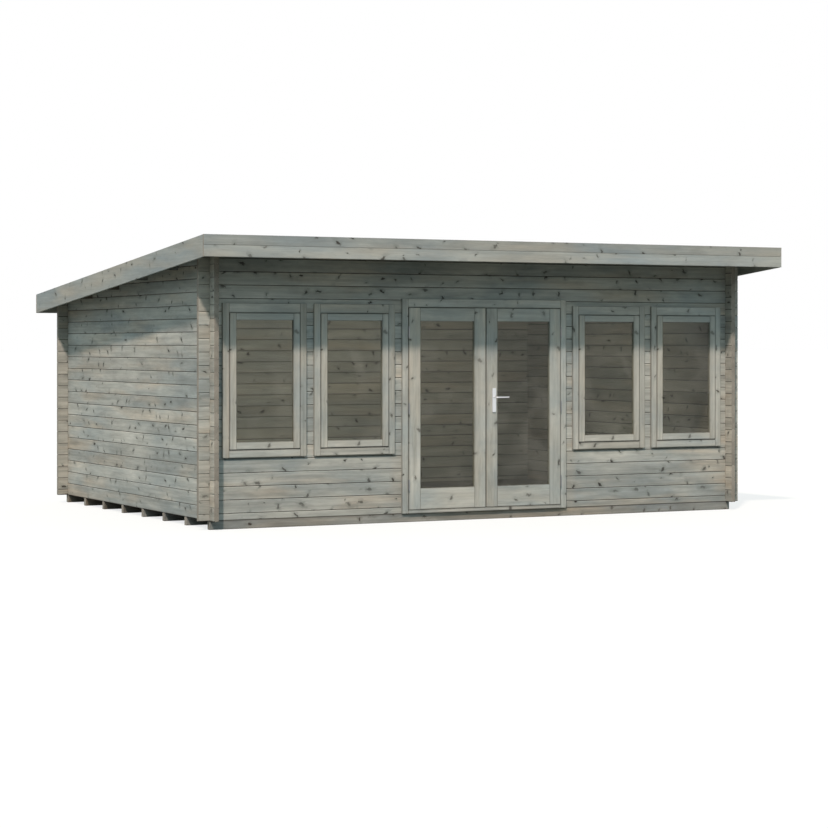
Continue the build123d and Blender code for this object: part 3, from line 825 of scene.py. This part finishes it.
def board_row(name, node, width):
    """Boards side by side along X in place of a sheet of the frame."""
    low, high, under, top, fall = sheet_ends(node)
    count = round((high.x - low.x) / width)
    pitch = (high.x - low.x) / count
    first = plank((low.x, low.y, under), (low.x + pitch - BOARD_GAP, high.y, top), fall)
    board = joined(name + "_board", [eased(first, BOARD_ARRIS)])
    made = grown(name, bpy.data.meshes.new(name), BOARD_ROW,
                 {"Board": board, "Count": count, "Pitch": pitch, "Finish": SAWN_PINE}, [board])
    mark_grain(made.data, "y")
    return stand_in(made, [node], "cabin", SAWN_PINE)


def felt_rows():
    """The felt's box, top, thickness and slope, and how many strips it has."""
    low, high, under, top, fall = sheet_ends("roof_felt")
    run = high.y - low.y
    return low, high, top, top - under, fall / run, round(run / FELT_STRIP)


def roof_felt():
    """Felt in strips along X, each lapped over the strip below it."""
    low, high, top, thick, slope, count = felt_rows()
    parts = []
    for i in range(count):
        y0, y1 = (low.y + (high.y - low.y) * j / count for j in (i, i + 1))
        z0, z1 = (top - (y - low.y) * slope for y in (y0, y1))
        parts.append(hexahedron([(low.x, y0, z0 - thick), (high.x, y0, z0 - thick),
                                 (high.x, y1, z1 - thick), (low.x, y1, z1 - thick),
                                 (low.x, y0, z0 - FELT_STEP), (high.x, y0, z0 - FELT_STEP),
                                 (high.x, y1, z1), (low.x, y1, z1)]))
    made = joined("felt_strips", parts)
    mark_grain(made.data, "x")
    return stand_in(made, ["roof_felt"], "cabin", FELT)


def end_fascia(name, node):
    """A front or rear fascia as two boards with a fine joint between them."""
    low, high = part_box(node)
    split = high.z - (high.z - low.z) * FASCIA_UPPER_SHARE
    parts = [plank(low, (high.x, high.y, split - FASCIA_JOINT / 2)),
             plank((low.x, low.y, split + FASCIA_JOINT / 2), high)]
    made = joined(name, [eased(part, BOARD_ARRIS) for part in parts])
    mark_grain(made.data, "x")
    return stand_in(made, [node], "cabin", FASCIA_PINE)


# Nails

def circle(sides):
    """Angles round a full turn."""
    return [2 * math.pi * i / sides for i in range(sides)]


def nail_head(radius):
    """A round nail's flat head, slightly domed, with its underside at the origin."""
    bm = bmesh.new()
    rim = [bm.verts.new((radius * math.cos(a), radius * math.sin(a), 0.0))
           for a in circle(NAIL_SIDES)]
    top = [bm.verts.new((v.co.x * NAIL_TOP_SHARE, v.co.y * NAIL_TOP_SHARE, NAIL_PROUD))
           for v in rim]
    for i in range(NAIL_SIDES):
        j = (i + 1) % NAIL_SIDES
        bm.faces.new([rim[i], rim[j], top[j], top[i]])
    bm.faces.new(top)
    bm.faces.new(list(reversed(rim)))
    return joined("nail_head", [bm])


def evenly(a, b, pitch):
    """Places from a to b, evenly, no further apart than a pitch."""
    count = max(1, math.ceil((b - a) / pitch))
    return [a + (b - a) * i / count for i in range(count + 1)]


def nail_places():
    """Each nail's place and the way that it faces. The head's top lies in the timber's face."""
    places = []
    for node, facing in (("front_fascia", -1), ("rear_fascia", 1)):
        low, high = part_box(node)
        face = (low.y if facing < 0 else high.y) - facing * NAIL_PROUD
        for x in evenly(low.x + 2 * NAIL_EDGE, high.x - 2 * NAIL_EDGE, FASCIA_NAIL_PITCH):
            for z in (low.z + NAIL_EDGE, (low.z + high.z) / 2 + NAIL_EDGE, high.z - NAIL_EDGE):
                places.append(((x, face, z), (0, facing, 0)))
    for node, facing in (("left_fascia", -1), ("right_fascia", 1)):
        low, high, under, top, fall = sheet_ends(node)
        face = (low.x if facing < 0 else high.x) - facing * NAIL_PROUD
        for y in evenly(low.y + 2 * NAIL_EDGE, high.y - 2 * NAIL_EDGE, FASCIA_NAIL_PITCH):
            lower = fall * (y - low.y) / (high.y - low.y)
            for z in (under + NAIL_EDGE, top - NAIL_EDGE):
                places.append(((face, y, z - lower), (facing, 0, 0)))
    for node, facing in (("outer_casings", -1), ("inner_casings", 1)):
        for board in node_pieces(node):
            low, high = span(board.verts)
            board.free()
            face = (low.y if facing < 0 else high.y) - facing * NAIL_PROUD
            middle = (low + high) / 2
            if high.z - low.z > high.x - low.x:
                row = [(middle.x, face, z) for z in
                       evenly(low.z + NAIL_EDGE, high.z - NAIL_EDGE, CASING_NAIL_PITCH)]
            else:
                row = [(x, face, middle.z) for x in
                       evenly(low.x + NAIL_EDGE, high.x - NAIL_EDGE, CASING_NAIL_PITCH)]
            places += [(place, (0, facing, 0)) for place in row]
    return places


def clout_places():
    """The felt's clout nails: a row along the low edge of each strip, square to the slope."""
    low, high, top, _, slope, count = felt_rows()
    strip = (high.y - low.y) / count
    way = Vector((0, slope, 1)).normalized()
    places = []
    for i in range(count):
        y = low.y + strip * (i + 1) - CLOUT_EDGE
        z = top - (y - low.y) * slope - FELT_STEP * CLOUT_EDGE / strip
        places += [((x, y, z), way)
                   for x in evenly(low.x + CLOUT_EDGE, high.x - CLOUT_EDGE, CLOUT_PITCH)]
    return places


def nails(name, places, radius):
    """Nail heads at the given places."""
    points = bpy.data.meshes.new(name + "_points")
    points.from_pydata([place for place, way in places], [], [])
    facing = points.attributes.new("facing", "FLOAT_VECTOR", "POINT")
    facing.data.foreach_set("vector", [c for place, way in places for c in way])
    head = nail_head(radius)
    made = grown(name, points, FIXINGS, {"Head": head, "Seed": SEED, "Finish": ZINC}, [head])
    return stand_in(made, [], "cabin", ZINC)


# Ironmongery

UP = Vector((0, 0, 1))


def swept_rod(path, radius):
    """A round rod along a path in a level plane, with a domed free end."""
    stations = []
    for i, point in enumerate(path):
        ahead = (path[min(i + 1, len(path) - 1)] - path[max(i - 1, 0)]).normalized()
        stations.append((point, ahead, radius))
    ahead = (path[-1] - path[-2]).normalized()
    for lift in DOME_ANGLES:
        stations.append((path[-1] + ahead * radius * DOME_SHARE * math.sin(lift), ahead,
                         radius * math.cos(lift)))
    bm = bmesh.new()
    rings = []
    for point, ahead, r in stations:
        side = ahead.cross(UP).normalized()
        rings.append([bm.verts.new(point + r * (math.cos(a) * side + math.sin(a) * UP))
                      for a in circle(LEVER_SIDES)])
    for near, far in zip(rings, rings[1:]):
        for k in range(LEVER_SIDES):
            m = (k + 1) % LEVER_SIDES
            bm.faces.new([near[k], near[m], far[m], far[k]])
    bm.faces.new(rings[-1])
    bm.faces.new(list(reversed(rings[0])))
    bmesh.ops.recalc_face_normals(bm, faces=bm.faces)
    return bm


def disc(centre, radius, y0, y1, sides):
    """A short cylinder along Y with eased rims."""
    bm = bmesh.new()
    made = bmesh.ops.create_cone(bm, cap_ends=True, segments=sides, radius1=radius,
                                 radius2=radius, depth=abs(y1 - y0))
    for vert in made["verts"]:
        x, y, z = vert.co
        vert.co = Vector((centre[0] + x, (y0 + y1) / 2 + z, centre[1] - y))
    bmesh.ops.recalc_face_normals(bm, faces=bm.faces)
    sharp = [e for e in bm.edges if e.calc_face_angle(0.0) > RIM_SHARP]
    bmesh.ops.bevel(bm, geom=sharp, offset=abs(y1 - y0) * RIM_SHARE, segments=2, profile=0.5,
                    affect="EDGES")
    return bm


def lever():
    """Both levers: a neck that bends into a round grip, on a turned collar."""
    low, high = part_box("lever_handle")
    plates_low, plates_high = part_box("handle_plates")
    x = (plates_low.x + plates_high.x) / 2
    z = (low.z + high.z) / 2
    grip = (*GRIP_STATIONS, high.x - x - LEVER_R * DOME_SHARE)
    parts = []
    for end, plate, outward in ((low.y, plates_low.y, -1), (high.y, plates_high.y, 1)):
        axis = end - outward * LEVER_R
        path = [Vector((x, plate - outward * LEVER_ROOT, z))]
        path += [Vector((x + LEVER_BEND * (1 - math.cos(a)),
                         axis - outward * LEVER_BEND * (1 - math.sin(a)), z))
                 for a in BEND_ANGLES]
        path += [Vector((x + s, axis, z)) for s in grip]
        parts.append(swept_rod(path, LEVER_R))
        parts.append(disc((x, z), ROSE_R, plate, plate + outward * ROSE_T, ROSE_SIDES))
    made = joined("lever_pair", parts)
    made.data.shade_smooth()
    made.data.set_sharp_from_angle(angle=SMOOTH_BELOW)
    return stand_in(made, ["lever_handle"], "lever", HANDLE_METAL)


def handle_plates():
    """The long plates with eased edges, and a screw at each end."""
    parts = [eased(part, PLATE_ARRIS) for part in node_pieces("handle_plates")]
    low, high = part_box("handle_plates")
    x = (low.x + high.x) / 2
    for face, outward in ((low.y, -1), (high.y, 1)):
        for z in (low.z + SCREW_EDGE, high.z - SCREW_EDGE):
            parts.append(disc((x, z), SCREW_R, face - outward * SCREW_SINK,
                              face + outward * SCREW_PROUD, SCREW_SIDES))
    made = joined("long_plates", parts)
    return stand_in(made, ["handle_plates"], "right_leaf", HANDLE_METAL)


# Studio

def seen_white(tree):
    """1 on the rays that show the backdrop itself: camera, mirror and see-through rays."""
    path = add(tree, "ShaderNodeLightPath").outputs
    seen = add(tree, "ShaderNodeMath", {0: path["Is Camera Ray"], 1: path["Is Glossy Ray"]},
               operation="MAXIMUM").outputs[0]
    return add(tree, "ShaderNodeMath", {0: seen, 1: path["Is Transmission Ray"]},
               operation="MAXIMUM").outputs[0]


def studio_floor():
    """A pale floor that keeps a faint shadow."""
    material, tree = new_material("studio_floor")
    paint = add(tree, "ShaderNodeBsdfDiffuse", {"Color": colour(FLOOR_PAINT)})
    glow = add(tree, "ShaderNodeMath", {0: seen_white(tree), 1: FLOOR_GLOW},
               operation="MULTIPLY").outputs[0]
    glow = add(tree, "ShaderNodeEmission", {"Strength": glow})
    both = add(tree, "ShaderNodeAddShader", {0: paint.outputs[0], 1: glow.outputs[0]})
    add(tree, "ShaderNodeOutputMaterial", {"Surface": both.outputs[0]})
    bm = bmesh.new()
    bmesh.ops.create_grid(bm, x_segments=1, y_segments=1, size=FLOOR_REACH)
    ground = joined("studio_ground", [bm])
    ground.data.materials.append(material)
    return ground


def studio_sun():
    """The soft sun."""
    sun = placed("sun", bpy.data.lights.new("sun", "SUN"))
    sun.data.energy = SUN_STRENGTH
    sun.data.angle = math.radians(SUN_SOFTNESS)
    sun.data.color = colour(SUN_COLOUR)[:3]
    sun.rotation_euler = SUN_TO.to_track_quat("Z", "Y").to_euler()
    return sun


def room_fill():
    """The light that the room gets, from a panel that isn't seen itself."""
    fill = placed("room_fill", bpy.data.lights.new("room_fill", "AREA"))
    fill.data.shape = "RECTANGLE"
    fill.data.size = ROOM_FILL_WIDTH
    fill.data.size_y = ROOM_FILL_HEIGHT
    fill.data.energy = ROOM_FILL
    fill.location = (ROOM_FILL_X, ROOM_LOW.y + ROOM_FILL_INSET, ROOM_FILL_Z)
    fill.rotation_euler = (math.radians(90), 0, 0)
    fill.visible_camera = fill.visible_glossy = fill.visible_transmission = False
    return fill


def sky():
    """A cool sky for the light, and a plain white backdrop where it is seen."""
    world = bpy.data.worlds.new("plain_sky")
    world.use_nodes = True
    tree = world.node_tree
    tree.nodes.clear()
    way = add(tree, "ShaderNodeTexCoord").outputs["Generated"]
    height = add(tree, "ShaderNodeSeparateXYZ", {0: way}).outputs[2]
    level = add(tree, "ShaderNodeMapRange", {0: height, 2: SKY_FULL, 3: SKY_LOW,
                                             4: SKY_HIGH}).outputs[0]
    dome = add(tree, "ShaderNodeBackground", {"Color": colour(SKY_COLOUR), "Strength": level})
    backdrop = add(tree, "ShaderNodeBackground", {"Color": WHITE, "Strength": 1.0})
    both = add(tree, "ShaderNodeMixShader", {0: seen_white(tree), 1: dome.outputs[0],
                                             2: backdrop.outputs[0]})
    add(tree, "ShaderNodeOutputWorld", {"Surface": both.outputs[0]})
    bpy.context.scene.world = world
    bpy.context.scene.view_settings.view_transform = "Standard"


def camera():
    """The photograph's viewpoint."""
    made = placed("camera", bpy.data.cameras.new("camera"))
    made.data.lens = CAMERA_LENS
    made.data.sensor_width = SENSOR
    made.data.shift_y = HORIZON_SHIFT
    made.data.clip_end = VIEW_END
    made.location = CAMERA_AT
    made.rotation_euler = (math.radians(90), 0, math.radians(CAMERA_YAW))
    bpy.context.scene.camera = made


# The cabin

for wall, along in (("front", "x"), ("rear", "x"), ("left", "y"), ("right", "y")):
    for rows in ("even", "odd"):
        timber(f"{wall}_{rows}_logs", f"{wall}_wall_{rows}_logs", "cabin",
               LOG_PINE, LOG_ARRIS, along)

for number in range(1, 5):
    for part in ("frame", "sash"):
        timber(f"window_{number}_{part}_joinery", f"window_{number}_{part}", "cabin",
               JOINERY_PINE, JOINERY_ARRIS)
for part in ("door_jambs", "door_head", "door_threshold", "outer_casings", "inner_casings"):
    timber(f"{part}_joinery", part, "cabin", JOINERY_PINE, JOINERY_ARRIS)
for side in ("left", "right"):
    timber(f"{side}_leaf_joinery", f"{side}_door_leaf", f"{side}_leaf",
           JOINERY_PINE, JOINERY_ARRIS)
    timber(f"{side}_fascia_board", f"{side}_fascia", "cabin", FASCIA_PINE,
           BOARD_ARRIS, "y")
for side in ("front", "rear"):
    end_fascia(f"{side}_fascia_boards", f"{side}_fascia")
timber("bearers", "floor_bearers", "cabin", SAWN_PINE, ROUGH_ARRIS, "x")
timber("roof_purlins", "purlins", "cabin", SAWN_PINE, ROUGH_ARRIS, "x")
board_row("roof_boarding", "roof_boards", ROOF_BOARD_W)
board_row("floor_boarding", "floor_boards", FLOOR_BOARD_W)
roof_felt()
nails("nail_heads", nail_places(), NAIL_R)
nails("felt_clouts", clout_places(), CLOUT_R)
lever()
handle_plates()

# Panes and hinges are shown as the frame has them
PLAIN_NODES = {"glass": GLASS, "hinges": ZINC}
for node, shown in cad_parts.items():
    for word, finish in PLAIN_NODES.items():
        if word in node:
            shown.data.materials.clear()
            shown.data.materials.append(finish)

studio_floor()
studio_sun()
room_fill()
sky()
camera()
